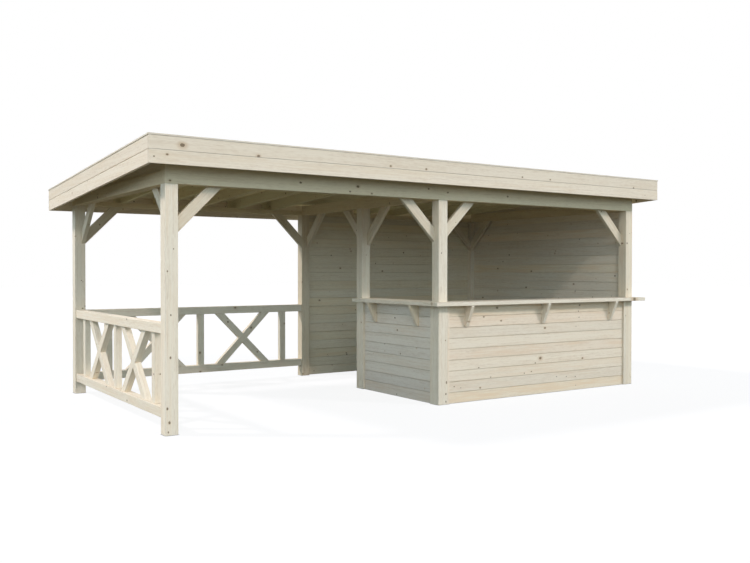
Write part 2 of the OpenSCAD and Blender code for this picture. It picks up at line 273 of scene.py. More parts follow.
@dataclass(frozen=True)
class SpruceFinish:
    """Bare planed spruce.

    The mesh carries vectors for it: local, the place from the timber's middle;
    half, its half sizes; seat, the shift to the heart of the tree; tint, its
    cast; tone, its brightness, flush and share of knots; and its chosen knots.

    Attributes:
        name: Name of the material.
        pale: Colour of the early wood.
        band: Colour of the late wood.
        flush: Colour of the warm streaks.
        stain: Colour of the stain round a knot.
        core: Colour of a knot.
        rim: Colour of the dark rim of a knot.
        arris_wear_and_shade: Colour of the arrises: lighter for rubbed wear, and darker on the rafters as
            painted shade.
        aged: Cast of a board's upper face, or none where no weather greys it.
        ring: Width of a year ring, in metres.
        knot_gap: Usual distance between knots along a timber.
        knot_size: Radius of the largest knots.
        knot_share: Share of the places that hold a knot.
        stain_size: Radius of a chosen knot whose stain is as wide as a grown one's.
        rough: Roughness of the planed face.
        gloss: Strength of the faint shine at a low angle.
    """

    name: str
    pale: Colour = (0.800, 0.708, 0.550)
    band: Colour = (0.620, 0.500, 0.350)
    flush: Colour = (0.770, 0.625, 0.440)
    stain: Colour = (0.57, 0.40, 0.23)
    core: Colour = (0.185, 0.128, 0.076)
    rim: Colour = (0.070, 0.045, 0.028)
    arris_wear_and_shade: Colour = (0.840, 0.790, 0.690)
    aged: Colour | None = None
    ring: float = 0.0032
    knot_gap: float = 0.30
    knot_size: float = 0.011
    knot_share: float = 0.13
    stain_size: float = 0.0105
    rough: float = 0.62
    gloss: float = 0.06

    def made(self) -> bpy.types.Material:
        """Give the material of this finish, written the first time."""
        return bpy.data.materials.get(self.name) or self.material()

    def material(self) -> bpy.types.Material:
        """Write the node tree of this finish.

        Returns:
            The material.
        """
        material = bpy.data.materials.new(self.name)
        material.use_nodes = True
        s = NodeSheet(material.node_tree)
        local, half = s.note("local"), s.note("half")
        bright, warm, knotty = s.split(s.note("tone"))
        place = s.vec("ADD", local, s.note("seat"))

        # The grain wanders a little across the timber.
        drift = s.vec("SUBTRACT", s.cloud(place, Pattern.DRIFT)["Color"], (0.5, 0.5, 0.5))
        bent = s.vec("ADD", place, s.vec("MULTIPLY", drift, (0.0, 0.030, 0.030)))
        _, v, w = s.split(bent)
        radius = s.vec("LENGTH", s.join(0.0, v, w))
        halo, dark, rim, push = self.knots(s, local, place, knotty)

        # Year rings of uneven width, which turn dark towards their outer side.
        wide = s.cloud(s.join(0.0, radius, 0.0), Pattern.YEARS)["Fac"]
        ring = s.sum("DIVIDE", s.sum("ADD", radius, push), self.ring)
        ring = s.sum("MULTIPLY_ADD", wide, 3.0, ring)
        ring = s.sum("POWER", s.sum("FRACT", ring), 2.6)

        fibre = s.cloud(bent, Pattern.FIBRE)["Fac"]
        streak = s.cloud(bent, Pattern.STREAK, 3.0)["Fac"]
        flame = s.cloud(bent, Pattern.FLAME, 3.0)["Fac"]
        mottle = s.cloud(place, Pattern.MOTTLE, 3.0, 0.6)["Fac"]
        patch = s.cloud(place, Pattern.PATCH)["Fac"]

        # Early and late wood, warm streaks and the timber's cast.
        share = s.sum("MULTIPLY", ring, s.step(flame, 0.3, 0.75, 0.14, 0.42))
        for part, weight in ((streak, 0.95), (flame, 0.80), (mottle, 1.30), (fibre, 0.16)):
            share = s.sum("MULTIPLY_ADD", s.sum("SUBTRACT", part, 0.5), weight, share)
        share = s.sum("ADD", share, 0.05, clamp=True)
        colour = s.blend(share, self.pale, self.band)
        glow = s.sum("MULTIPLY", s.step(patch, 0.42, 0.62), s.step(streak, 0.30, 0.62))
        colour = s.blend(s.sum("MULTIPLY", glow, warm), colour, self.flush)
        colour = s.blend(1.0, colour, s.note("tint"), "MULTIPLY")

        # Knots with stain and rim.
        colour = s.blend(s.step(halo, 3.0, 0.8, 0.0, 0.62), colour, self.stain)
        colour = s.blend(dark, colour, self.core)
        colour = s.blend(rim, colour, self.rim)

        # Rubbed arrises, with painted shade along the rafters' arrises, darker sawn ends, weather and
        # brightness.
        edge, butt = self.edges(s, local, half)
        arris_wear_and_shade = s.sum("MULTIPLY", edge, s.step(streak, 0.35, 0.65, 0.04, 0.26))
        colour = s.blend(arris_wear_and_shade, colour, self.arris_wear_and_shade)
        colour = s.blend(s.sum("MULTIPLY", butt, 0.34), colour, self.band)
        if self.aged:
            _, _, rise = s.split(s.vec("DIVIDE", local, half))
            grey = s.blend(1.0, colour, self.aged, "MULTIPLY")
            colour = s.blend(s.step(rise, 0.80, 0.95), colour, grey)
        value = s.sum("MULTIPLY_ADD", bright, 0.035, 1.0)
        colour = s.blend(1.0, colour, s.join(value, value, value), "MULTIPLY")

        # Roughness and the relief of rings, fibres and knots.
        rough = s.sum("MULTIPLY_ADD", s.sum("SUBTRACT", streak, 0.5), 0.30, self.rough)
        rough = s.sum("MULTIPLY_ADD", ring, 0.06, rough)
        rough = s.sum("MULTIPLY_ADD", dark, -0.12, rough)
        height = s.sum("MULTIPLY_ADD", ring, 0.30, s.sum("MULTIPLY", fibre, 0.70))
        height = s.sum("MULTIPLY_ADD", rim, -0.80, height)
        bump = s.node("Bump", Strength=0.45, Distance=0.0009, Height=height)
        shader = s.node("BsdfPrincipled", Base_Color=colour, Roughness=rough,
                        Specular_IOR_Level=self.gloss, Normal=bump.outputs[0])
        s.node("OutputMaterial", Surface=shader.outputs[0])
        return material

    def knots(self, s: NodeSheet, local: Socket, place: Socket,
              knotty: Socket) -> tuple[Socket, ...]:
        """Set the chosen knots, and branches that grow outwards from the heart.

        Args:
            s: Node tree.
            local: Place from the timber's middle.
            place: Place from the heart, in metres.
            knotty: The timber's own share of knots.

        Returns:
            Distance from the nearest knot in widths of its halo, mask of its core,
            mask of its dark rim, and how far it pushes the year rings outwards.
        """
        # Branches grow in cells along the tree and round its heart.
        along, across, through = s.split(place)
        ray = s.vec("NORMALIZE", s.join(0.0, across, through))
        cell = s.vec("ADD", s.vec("MULTIPLY", ray, (0.0, 1.3, 1.3)),
                     s.join(s.sum("DIVIDE", along, self.knot_gap), 0.0, 0.0))
        branch = s.node("TexVoronoi", Vector=cell, Scale=1.0, Randomness=0.95).outputs
        at, py, pz = s.split(branch["Position"])
        pick, size, dead = s.split(branch["Color"])

        way = s.vec("NORMALIZE", s.join(0.0, py, pz))
        _, wy, wz = s.split(way)
        run = s.sum("SUBTRACT", along, s.sum("MULTIPLY", at, self.knot_gap))
        side = s.sum("SUBTRACT", s.sum("MULTIPLY", across, wz), s.sum("MULTIPLY", through, wy))
        out = s.vec("DOT_PRODUCT", s.join(0.0, across, through), way)

        here = s.sum("LESS_THAN", pick, s.sum("MULTIPLY", knotty, self.knot_share))
        here = s.sum("MULTIPLY", here, s.sum("GREATER_THAN", out, 0.0))
        reach = s.sum("MULTIPLY_ADD", s.sum("POWER", size, 2.0), 0.65, 0.35)
        reach = s.sum("MULTIPLY", reach, self.knot_size)
        grown = s.sum("DIVIDE", s.vec("LENGTH", s.join(run, side, 0.0)), reach)
        grown = s.sum("MULTIPLY_ADD", s.sum("SUBTRACT", 1.0, here), AWAY.along, grown)

        # Distance from the nearest chosen knot, in radii and in widths of its stain.
        u, v, _ = s.split(local)
        chosen, stain = AWAY.along, AWAY.along
        for index in range(KNOTS):
            ku, kv, kr = s.split(s.note(f"knot_{index}"))
            run = s.sum("MULTIPLY", s.sum("SUBTRACT", u, ku), 0.70)
            off = s.vec("LENGTH", s.join(run, s.sum("SUBTRACT", v, kv), 0.0))
            off = s.sum("DIVIDE", off, kr)
            chosen = s.sum("MINIMUM", off, chosen)
            wide = s.sum("DIVIDE", kr, self.stain_size)
            stain = s.sum("MINIMUM", s.sum("DIVIDE", off, wide), stain)

        # Both kinds together, with a ragged outline.
        ragged = s.cloud(place, Pattern.RAGGED)["Fac"]
        ragged = s.sum("MULTIPLY", s.sum("SUBTRACT", ragged, 0.5), 0.55)
        far = s.sum("ADD", ragged, s.sum("MINIMUM", grown, chosen))
        halo = s.sum("ADD", ragged, s.sum("MINIMUM", s.sum("MULTIPLY", grown, 1.3), stain))
        firm = s.sum("MAXIMUM", s.step(dead, 0.25, 0.75, 0.30, 1.0), s.sum("LESS_THAN", chosen, grown))
        dark = s.sum("MULTIPLY", s.step(far, 1.0, 0.72, 0.0, 0.86), firm)
        band = s.sum("MULTIPLY", s.step(far, 1.18, 0.98), s.step(far, 0.70, 0.92))
        rim = s.sum("MULTIPLY", band, s.sum("MULTIPLY", firm, s.step(dead, 0.30, 0.75, 0.15, 0.85)))
        push = s.sum("MULTIPLY", s.step(far, 5.0, 0.8), 0.006)
        return halo, dark, rim, push

    def edges(self, s: NodeSheet, local: Socket,
              half: Socket) -> tuple[Socket, ...]:
        """Find the arrises and the sawn ends of a timber.

        Args:
            s: Node tree.
            local: Place from the timber's middle.
            half: Half sizes of the timber.

        Returns:
            Mask of the arrises and mask of the sawn ends.
        """
        a, b, c = s.split(s.vec("SUBTRACT", half, s.vec("ABSOLUTE", local)))
        near = s.sum("MAXIMUM", s.sum("MINIMUM", a, b), s.sum("MINIMUM", s.sum("MAXIMUM", a, b), c))
        return s.step(near, 0.007, 0.001), s.step(a, 0.0012, 0.0004)


@dataclass
class Timber:
    """One piece of wood in its own frame: length u, width v, thickness w.

    Attributes:
        origin: Place of the frame's origin.
        along: Unit vector of the length, which is the way of the grain.
        width: Unit vector of the width.
        cells: Outlines with the two depths between which each is solid.
        cut: Plane of the outlines.
        arris: Radius of the eased arrises, or 0 where they stay sharp.
        glued: Widths at which the timber is glued to the next, left sharp.
        heart: Where the heart of the tree lies.
        tint: Cast of the timber, or none to leave it to chance.
        knots: Chosen knots, or None to leave them to chance.
    """

    origin: Vector
    along: Vector
    width: Vector
    cells: list[Cell]
    cut: Cut = Cut.FACE
    arris: float = 0.003
    glued: tuple[float, ...] = ()
    heart: Heart = Heart.BEHIND
    tint: Tint | None = None
    knots: tuple[Knot, ...] | None = None

    def spot(self, flat: Flat, depth: float) -> Vector:
        """Place a point of an outline as length, width and thickness."""
        return Vector((*flat, depth) if self.cut is Cut.FACE else (depth, *flat))

    def solid(self) -> bmesh.types.BMesh:
        """Build the closed mesh, without the walls between touching cells.

        Returns:
            The mesh in the timber's own frame.
        """
        mesh = bmesh.new()
        known: dict[tuple[float, ...], bmesh.types.BMVert] = {}
        walls: dict[frozenset, list[bmesh.types.BMVert]] = {}

        def corner(flat: Flat, depth: float) -> bmesh.types.BMVert:
            """Find or make the vertex at a corner.

            Args:
                flat: Point of an outline.
                depth: Depth of the point.

            Returns:
                The vertex.
            """
            spot = self.spot(flat, depth)
            key = tuple(round(c, DIGITS) for c in spot)
            if key not in known:
                known[key] = mesh.verts.new(spot)
            return known[key]

        for outline, low, high in self.cells:
            foot = [corner(p, low) for p in outline]
            head = [corner(p, high) for p in outline]
            sides = [[foot[i - 1], foot[i], head[i], head[i - 1]] for i in range(len(outline))]
            for wall in [foot, head, *sides]:
                if walls.pop(frozenset(wall), None) is None:
                    walls[frozenset(wall)] = wall
        for wall in walls.values():
            mesh.faces.new(wall)
        bmesh.ops.recalc_face_normals(mesh, faces=mesh.faces)
        if len(self.cells) > 1:
            bmesh.ops.dissolve_limit(mesh, angle_limit=LEVEL, verts=mesh.verts, edges=mesh.edges)
        if self.arris:
            self.ease(mesh)
        return mesh

    def ease(self, mesh: bmesh.types.BMesh) -> None:
        """Round the outer arrises, apart from the glued ones.

        Args:
            mesh: Mesh to ease.
        """
        def is_glued(edge: bmesh.types.BMEdge) -> bool:
            """Say whether an edge lies on a glued face."""
            return any(all(abs(p.co.y - v) < SAME for p in edge.verts) for v in self.glued)

        edges = [e for e in mesh.edges
                 if e.is_manifold and e.calc_face_angle_signed() > SHARP and not is_glued(e)]
        bmesh.ops.bevel(mesh, geom=edges, offset=self.arris, offset_type="OFFSET",
                        segments=2, profile=0.5, affect="EDGES", clamp_overlap=True)


@dataclass
class WoodPiece:
    """Object made of timbers that share a finish.

    Attributes:
        name: Name of the object.
        finish: Finish of its timbers.
        slot: Slot of the record that the finish belongs to; not used.
        timbers: Its timbers.
    """

    name: str
    finish: SpruceFinish
    slot: str
    timbers: list[Timber]

    def seat(self, chance: random.Random, timber: Timber, half: Vector) -> Vector:
        """Choose where a timber was sawn from its tree.

        Args:
            chance: Seeded chance of the timber.
            timber: The timber.
            half: Its half sizes.

        Returns:
            Shift from the timber's middle to the heart of the tree.
        """
        start = chance.uniform(*TREE)
        if timber.heart is Heart.BOXED:
            return Vector((start, chance.uniform(*OFF_HEART) * half.y, chance.uniform(*OFF_HEART) * half.z))
        side = chance.choice((-1.0, 1.0))
        return Vector((start, chance.uniform(*OFF_BOARD) * half.y,
                       side * (half.z + chance.uniform(*BEHIND))))

    def character(self, chance: random.Random, timber: Timber, half: Vector) -> dict[str, Vector]:
        """Choose what sets a timber apart from the next.

        Args:
            chance: Seeded chance of the timber.
            timber: The timber.
            half: Its half sizes.

        Returns:
            The vectors that its mesh carries, by name.
        """
        tint = timber.tint or chance.choices(list(Tint), TINT_CHANCES)[0]
        flush = chance.uniform(*(WARM_FLUSH if tint in (Tint.TAN, Tint.PINK) else PLAIN_FLUSH))
        knotty = chance.uniform(*KNOTTY) if timber.knots is None else 0.0
        found = {"half": half, "seat": self.seat(chance, timber, half), "tint": Vector(tint.value),
                 "tone": Vector((chance.uniform(*TONE), flush, knotty))}
        knots = [*(timber.knots or ()), *[AWAY] * KNOTS][:KNOTS]
        for index, knot in enumerate(knots):
            found[f"knot_{index}"] = Vector((knot.along, knot.across, knot.radius))
        return found

    def build(self, *nodes: str) -> None:
        """Make the object, dress it and let it stand for its solids.

        Args:
            *nodes: Names of the solids that it stands for.
        """
        points: list[Vector] = []
        faces: list[list[int]] = []
        notes: dict[str, list[Vector]] = {}
        for index, timber in enumerate(self.timbers):
            solid = timber.solid()
            low = Vector([min(p.co[i] for p in solid.verts) for i in range(3)])
            high = Vector([max(p.co[i] for p in solid.verts) for i in range(3)])
            half, middle = (high - low) / 2, (high + low) / 2
            fixed = self.character(random.Random(f"{self.name} {index}"), timber, half)
            depth = timber.along.cross(timber.width)
            first = len(points)
            solid.verts.index_update()
            for p in solid.verts:
                points.append(timber.origin + p.co.x * timber.along
                              + p.co.y * timber.width + p.co.z * depth)
                for name, value in (("local", p.co - middle), *fixed.items()):
                    notes.setdefault(name, []).append(value)
            faces += [[first + p.index for p in f.verts] for f in solid.faces]
            solid.free()
        mesh = bpy.data.meshes.new(self.name)
        mesh.from_pydata(points, [], faces)
        for name, values in notes.items():
            note = mesh.attributes.new(name, "FLOAT_VECTOR", "POINT")
            note.data.foreach_set("vector", [c for value in values for c in value])
        mesh.materials.append(self.finish.made())
        mesh.update()
        piece = bpy.data.objects.new(self.name, mesh)
        bpy.context.scene.collection.objects.link(piece)
        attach(piece, "root")
        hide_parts(*nodes)
        LOG.info("built %s: %d timbers, %d faces", self.name, len(self.timbers), len(faces))


POST_SPRUCE = SpruceFinish("post_spruce")
# The beams' spruce is darker and more olive than the posts': painted shade of the roof edge over them.
FRAME_PAINTED_SHADE = SpruceFinish("frame_spruce", pale=(0.760, 0.645, 0.440), band=(0.59, 0.460, 0.285),
                            flush=(0.715, 0.565, 0.35), arris_wear_and_shade=(0.760, 0.645, 0.440), gloss=0.0)
# The braces' spruce is darker than the posts': painted shade of their recessed place under the beams.
BRACE_PAINTED_SHADE = SpruceFinish("brace_spruce", pale=(0.730, 0.638, 0.480), band=(0.565, 0.445, 0.300),
                            flush=(0.695, 0.56, 0.385), arris_wear_and_shade=(0.765, 0.675, 0.525))
# The rafters' spruce is darker and more olive than the roof boards', and its arrises are darker still:
# painted shade under the roof.
RAFTER_PAINTED_SHADE = SpruceFinish("rafter_spruce", pale=(0.735, 0.660, 0.435), band=(0.605, 0.505, 0.300),
                             flush=(0.695, 0.585, 0.360), arris_wear_and_shade=(0.62, 0.555, 0.365), gloss=0.0)
# The roof boards' spruce is brighter than the posts', which paints in bounce light, and olive, which paints
# the shade under the roof.
ROOF_PAINTED_LIGHT_AND_SHADE = SpruceFinish("roof_spruce", pale=(0.865, 0.780, 0.525), band=(0.725, 0.610, 0.370),
                           flush=(0.825, 0.695, 0.44), arris_wear_and_shade=(0.865, 0.780, 0.525), aged=(0.66, 0.67, 0.76),
                           gloss=0.0)
EDGE_SPRUCE = SpruceFinish("edge_spruce", pale=(0.818, 0.705, 0.542), band=(0.635, 0.498, 0.345))
TRIM_SPRUCE = SpruceFinish("trim_spruce", knot_share=0.05)
WALL_SPRUCE = SpruceFinish("wall_spruce", knot_share=0.08)
FRONT_SPRUCE = SpruceFinish("front_spruce", pale=(0.800, 0.692, 0.530), band=(0.620, 0.488, 0.336),
                            flush=(0.770, 0.610, 0.425), knot_share=0.08)
# The return wall's spruce is darker and bluer than the other walls': painted shade, as this wall stands under
# the roof.
RETURN_PAINTED_SHADE = SpruceFinish("return_spruce", pale=(0.755, 0.682, 0.560), band=(0.585, 0.482, 0.357),
                             flush=(0.727, 0.602, 0.448), knot_share=0.08)
# The back wall's spruce is yellower than the other walls': painted shade of the bar's inside.
REAR_PAINTED_SHADE = SpruceFinish("rear_spruce", pale=(0.795, 0.703, 0.520), band=(0.615, 0.497, 0.330),
                           flush=(0.765, 0.622, 0.415), knot_share=0.08)
COUNTER_SPRUCE = SpruceFinish("counter_spruce")
RAIL_SPRUCE = SpruceFinish("rail_spruce")


def oblong(u0: float, v0: float, u1: float, v1: float) -> list[Flat]:
    """Draw a rectangle between two corners."""
    return [(u0, v0), (u1, v0), (u1, v1), (u0, v1)]


def beam(low: Vector, high: Vector, along: Vector, **more: object) -> Timber:
    """Make a straight timber that fills a box.

    Args:
        low: Lowest corner.
        high: Highest corner.
        along: Way of the grain, along an axis.
        **more: Further fields of the timber.

    Returns:
        The timber.
    """
    width = EAST if abs(along.z) > 0.5 else UP
    depth = along.cross(width)
    spans = [sorted((low.dot(a), high.dot(a))) for a in (along, width, depth)]
    outline = oblong(spans[0][0], spans[1][0], spans[0][1], spans[1][1])
    return Timber(Vector(), along, width, [(outline, *spans[2])], **more)


@dataclass
class Posts:
    """Square posts, each glued from two halves.

    Attributes:
        names: Names of the posts' solids.
        arris: Radius of the eased arrises.
        knots: Height, place from the post's middle and radius of chosen knots.
        tints: Casts of single posts; the back middle post's darker cast is painted shade.
    """

    names: tuple[str, ...] = (
        "post_front_left", "post_front_middle", "post_front_right", "post_back_left",
        "post_back_middle", "post_back_right", "post_bar_return")
    arris: float = 0.004
    knots: dict[str, tuple[Triple, ...]] = field(default_factory=lambda: {
        "post_front_left": ((1.58, 0.017, 0.005), (1.39, -0.037, 0.006), (1.02, -0.008, 0.006),
                            (0.66, -0.012, 0.007), (0.23, -0.040, 0.007), (0.11, -0.022, 0.008),
                            (0.03, -0.032, 0.006)),
        "post_front_middle": ((1.58, -0.020, 0.005), (0.67, 0.034, 0.006), (0.23, 0.050, 0.008),
                              (0.11, 0.041, 0.007), (0.03, 0.041, 0.006))})
    tints: dict[str, Tint] = field(default_factory=lambda: {
        "post_back_middle": Tint.DEEP, "post_front_right": Tint.TAN})

    def halves(self, name: str) -> list[Timber]:
        """Make the two glued halves of a post.

        Args:
            name: Name of its solid.

        Returns:
            The halves.
        """
        low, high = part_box(name)
        middle = (low.x + high.x) / 2
        halves = []
        for x0, x1 in ((low.x, middle), (middle, high.x)):
            offset = (x0 + x1) / 2 - middle
            knots = tuple(Knot(z - high.z / 2, x - offset, radius)
                          for z, x, radius in self.knots.get(name, ()) if x * offset > 0.0)
            halves.append(beam(Vector((x0, low.y, low.z)), Vector((x1, high.y, high.z)), UP,
                               arris=self.arris, glued=(middle,), tint=self.tints.get(name, Tint.PALE),
                               knots=knots if name in self.knots else None))
        return halves

    def build(self) -> None:
        """Build every post."""
        for name in self.names:
            title = name.replace("post_", "post.", 1)
            WoodPiece(title, POST_SPRUCE, "post_timber", self.halves(name)).build(name)


@dataclass
class Beams:
    """Beams on the posts.

    Attributes:
        along_x: Solids of the beams along the front and the back.
        along_y: Solids of the beams along the sides and the cross frame.
        arris: Radius of the eased arrises.
        tints: Casts of single beams; the left beam's dull cast is painted shade.
        knots: Chosen knots of the front beam.
    """

    along_x: tuple[str, ...] = ("front_beam", "back_beam")
    along_y: tuple[str, ...] = ("left_beam", "right_beam", "cross_beam")
    arris: float = 0.004
    tints: dict[str, Tint] = field(default_factory=lambda: {"left_beam": Tint.DULL})
    knots: tuple[Knot, ...] = (
        Knot(-2.93, -0.08), Knot(-1.68, -0.024), Knot(-1.14, -0.078, 0.007), Knot(-1.05, -0.025, 0.010),
        Knot(-0.89, -0.085), Knot(-0.19, 0.0), Knot(0.06, -0.025), Knot(0.90, -0.025, 0.008))

    def build(self) -> None:
        """Build every beam."""
        for names, way in ((self.along_x, EAST), (self.along_y, NORTH)):
            for name in names:
                timber = beam(*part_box(name), way, arris=self.arris, heart=Heart.BOXED,
                              tint=self.tints.get(name, Tint.PALE),
                              knots=self.knots if name == "front_beam" else None)
                WoodPiece(f"{name}.timber", FRAME_PAINTED_SHADE, "frame_timber", [timber]).build(name)


@dataclass
class Braces:
    """Braces between the posts and the beams.

    Attributes:
        rise: Leg along the post.
        run: Leg along the beam.
        width: Width across the length.
        thick: Thickness.
        arris: Radius of the eased arrises.
    """

    rise: float = 0.432
    run: float = 0.432
    width: float = 0.100
    thick: float = 0.043
    arris: float = 0.003

    def brace(self, corner: Vector, way: Vector, lean: Lean) -> Timber:
        """Make one brace.

        Args:
            corner: Inner corner of post and beam, at the brace's near face.
            way: Way of the beam, whose right-hand side the brace lies on.
            lean: Whether it climbs along the way or against it.

        Returns:
            The brace.
        """
        lean_way = lean.value * way
        long = (self.run * lean_way + self.rise * UP).normalized()
        wide = (-self.rise * lean_way + self.run * UP).normalized()
        end_rise = self.width * math.hypot(self.rise, self.run) / self.run
        end_run = self.width * math.hypot(self.rise, self.run) / self.rise
        corners = [-self.rise * UP, self.run * lean_way, (self.run - end_run) * lean_way,
                   (end_rise - self.rise) * UP]
        outline = [(p.dot(long), p.dot(wide)) for p in corners]
        depth = long.cross(wide)
        back = self.thick * depth.dot(way.cross(UP))
        return Timber(corner, long, wide, [(outline, min(0.0, back), max(0.0, back))],
                      arris=self.arris, tint=Tint.PALE)

    def build(self) -> None:
        """Build the braces of all five frame lines."""
        _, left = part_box("post_front_left")
        mid0, mid1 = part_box("post_front_middle")
        right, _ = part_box("post_front_right")
        rear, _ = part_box("post_back_middle")
        end0, end1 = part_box("post_bar_return")
        up, down = Lean.RISING, Lean.FALLING
        back_y, left_x, cross_x = rear.y + self.thick, left.x - self.thick, mid1.x - self.thick
        rows = {
            "braces_front": (EAST, [(left.x, left.y, up), (mid0.x, left.y, down), (mid1.x, left.y, up),
                                    (right.x, left.y, down)]),
            "braces_back": (EAST, [(left.x, back_y, up), (rear.x, back_y, down), (right.x, back_y, down)]),
            "braces_left": (NORTH, [(left_x, left.y, up), (left_x, rear.y, down)]),
            "braces_right": (NORTH, [(right.x, rear.y, down)]),
            "braces_cross": (NORTH, [(cross_x, rear.y, down), (cross_x, end1.y, up),
                                     (cross_x, end0.y, down)]),
        }
        for name, (way, places) in rows.items():
            timbers = [self.brace(Vector((x, y, left.z)), way, lean) for x, y, lean in places]
            WoodPiece(f"{name}.timber", BRACE_PAINTED_SHADE, "frame_timber", timbers).build(name)


@dataclass
class Roof:
    """Rafters, roof boards and the boards that close the gables.

    Attributes:
        rafter_h: Depth of a rafter.
        rafter_t: Thickness of a rafter.
        seat_cut: Depth of the rafters' seats on the beams.
        deck_t: Thickness of the roof boards.
        board_w: Cover width of a roof board.
        short: Share of its width that the last full board may lack.
        spaces: Spaces between rafters from one frame line to the next.
        groove: Half width and depth of the groove between boards.
        tongue: Length and half thickness of a board's tongue.
        chamfer: Width of the chamfers on a board's upper face.
        gable_h: Height of the lower gable board.
        gable_t: Thickness of the gable boards.
        arris: Radius of the eased arrises of rafters and gable boards.
    """

    rafter_h: float = 0.120
    rafter_t: float = 0.045
    seat_cut: float = 0.010
    deck_t: float = 0.020
    board_w: float = 0.121
    short: float = 0.01
    spaces: int = 6
    groove: float = 0.003
    tongue: Flat = (0.006, 0.003)
    chamfer: float = 0.001
    gable_h: float = 0.114
    gable_t: float = 0.028
    arris: Flat = (0.003, 0.0015)

    def rafter_z(self, y: float) -> float:
        """Give the height of the rafters' underside at a depth."""
        low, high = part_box("front_beam")
        return high.z - self.seat_cut - (y - (low.y + high.y) / 2) * FALL

    def rafter(self, x: float) -> Timber:
        """Make one rafter, notched over the front and the back beam.

        Args:
            x: Place of its middle.

        Returns:
            The rafter.
        """
        y0, y1 = (corner.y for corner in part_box("roof_boards"))
        outline = [(y0, self.rafter_z(y0))]
        for name in ("front_beam", "back_beam"):
            low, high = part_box(name)
            outline += [(low.y, self.rafter_z(low.y)), (low.y, high.z), (high.y, high.z),
                        (high.y, self.rafter_z(high.y))]
        outline += [(y1, self.rafter_z(y1)), (y1, self.rafter_z(y1) + self.rafter_h),
                    (y0, self.rafter_z(y0) + self.rafter_h)]
        half = self.rafter_t / 2
        return Timber(Vector((x, 0.0, 0.0)), NORTH, UP, [(outline, -half, half)], arris=self.arris[0])

    def board(self, y: float, wide: float) -> Timber:
        """Make one roof board, tongued into the next.

        Args:
            y: Place of its front edge.
            wide: Its width down the slope.

        Returns:
            The board.
        """
        low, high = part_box("roof_boards")
        slope = Vector((0.0, 1.0, -FALL)).normalized()
        g, c, (t, h), d, m = self.groove, self.chamfer, self.tongue, self.deck_t, self.deck_t / 2
        outline = [(g, 0.0), (wide - g, 0.0), (wide, g), (wide, m - h), (wide + t, m - h), (wide + t, m + h),
                   (wide, m + h), (wide, d - c), (wide - c, d), (c, d), (0.0, d - c),
                   (0.0, m + h), (t, m + h), (t, m - h), (0.0, m - h), (0.0, g)]
        start = Vector((0.0, y, self.rafter_z(y) + self.rafter_h))
        return Timber(start, EAST, slope, [(outline, low.x, high.x)], cut=Cut.SECTION, arris=0.0)

    def gable(self, x0: float, x1: float) -> list[Timber]:
        """Make the two boards between a side beam and the roof boards.

        Args:
            x0: Left face.
            x1: Right face.

        Returns:
            The boards.
        """
        low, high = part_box("left_beam")
        y0, y1, z0 = low.y, high.y, high.z
        tops = [self.rafter_z(y) + self.rafter_h for y in (y0, y1)]
        seam = z0 + self.gable_h
        turn = y0 + (tops[0] - seam) / FALL
        lower = [(y0, z0), (y1, z0), (y1, tops[1]), (turn, seam), (y0, seam)]
        upper = [(y0, seam), (turn, seam), (y0, tops[0])]
        return [Timber(Vector(), NORTH, UP, [(line, x0, x1)], arris=self.arris[1]) for line in (lower, upper)]

    def build(self) -> None:
        """Build rafters, roof boards and gables."""
        post0, post1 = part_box("post_front_left")
        left = (post0.x + post1.x) / 2
        low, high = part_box("roof_boards")
        rows = (("rafters_open_bay", left, 0.0, low.x + self.rafter_t / 2),
                ("rafters_bar_bay", 0.0, -left, high.x - self.rafter_t / 2))
        for name, x0, x1, end in rows:
            places = [x0 + i * (x1 - x0) / self.spaces for i in range(1, self.spaces)] + [end]
            timbers = [self.rafter(x) for x in places]
            WoodPiece(f"{name}.timber", RAFTER_PAINTED_SHADE, "frame_timber", timbers).build(name)
        secant = math.hypot(1.0, FALL)
        count = math.floor((high.y - low.y) / self.board_w + self.short)
        edges = [low.y + i * self.board_w for i in range(count)] + [high.y]
        boards = [self.board(a, (b - a) * secant) for a, b in zip(edges, edges[1:])]
        WoodPiece("roof_boards.laid", ROOF_PAINTED_LIGHT_AND_SHADE, "roof_board", boards).build("roof_boards")
        low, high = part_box("gable_boards")
        boards = [*self.gable(low.x, low.x + self.gable_t), *self.gable(high.x - self.gable_t, high.x)]
        WoodPiece("gable_boards.laid", WALL_SPRUCE, "wall_board", boards).build("gable_boards")


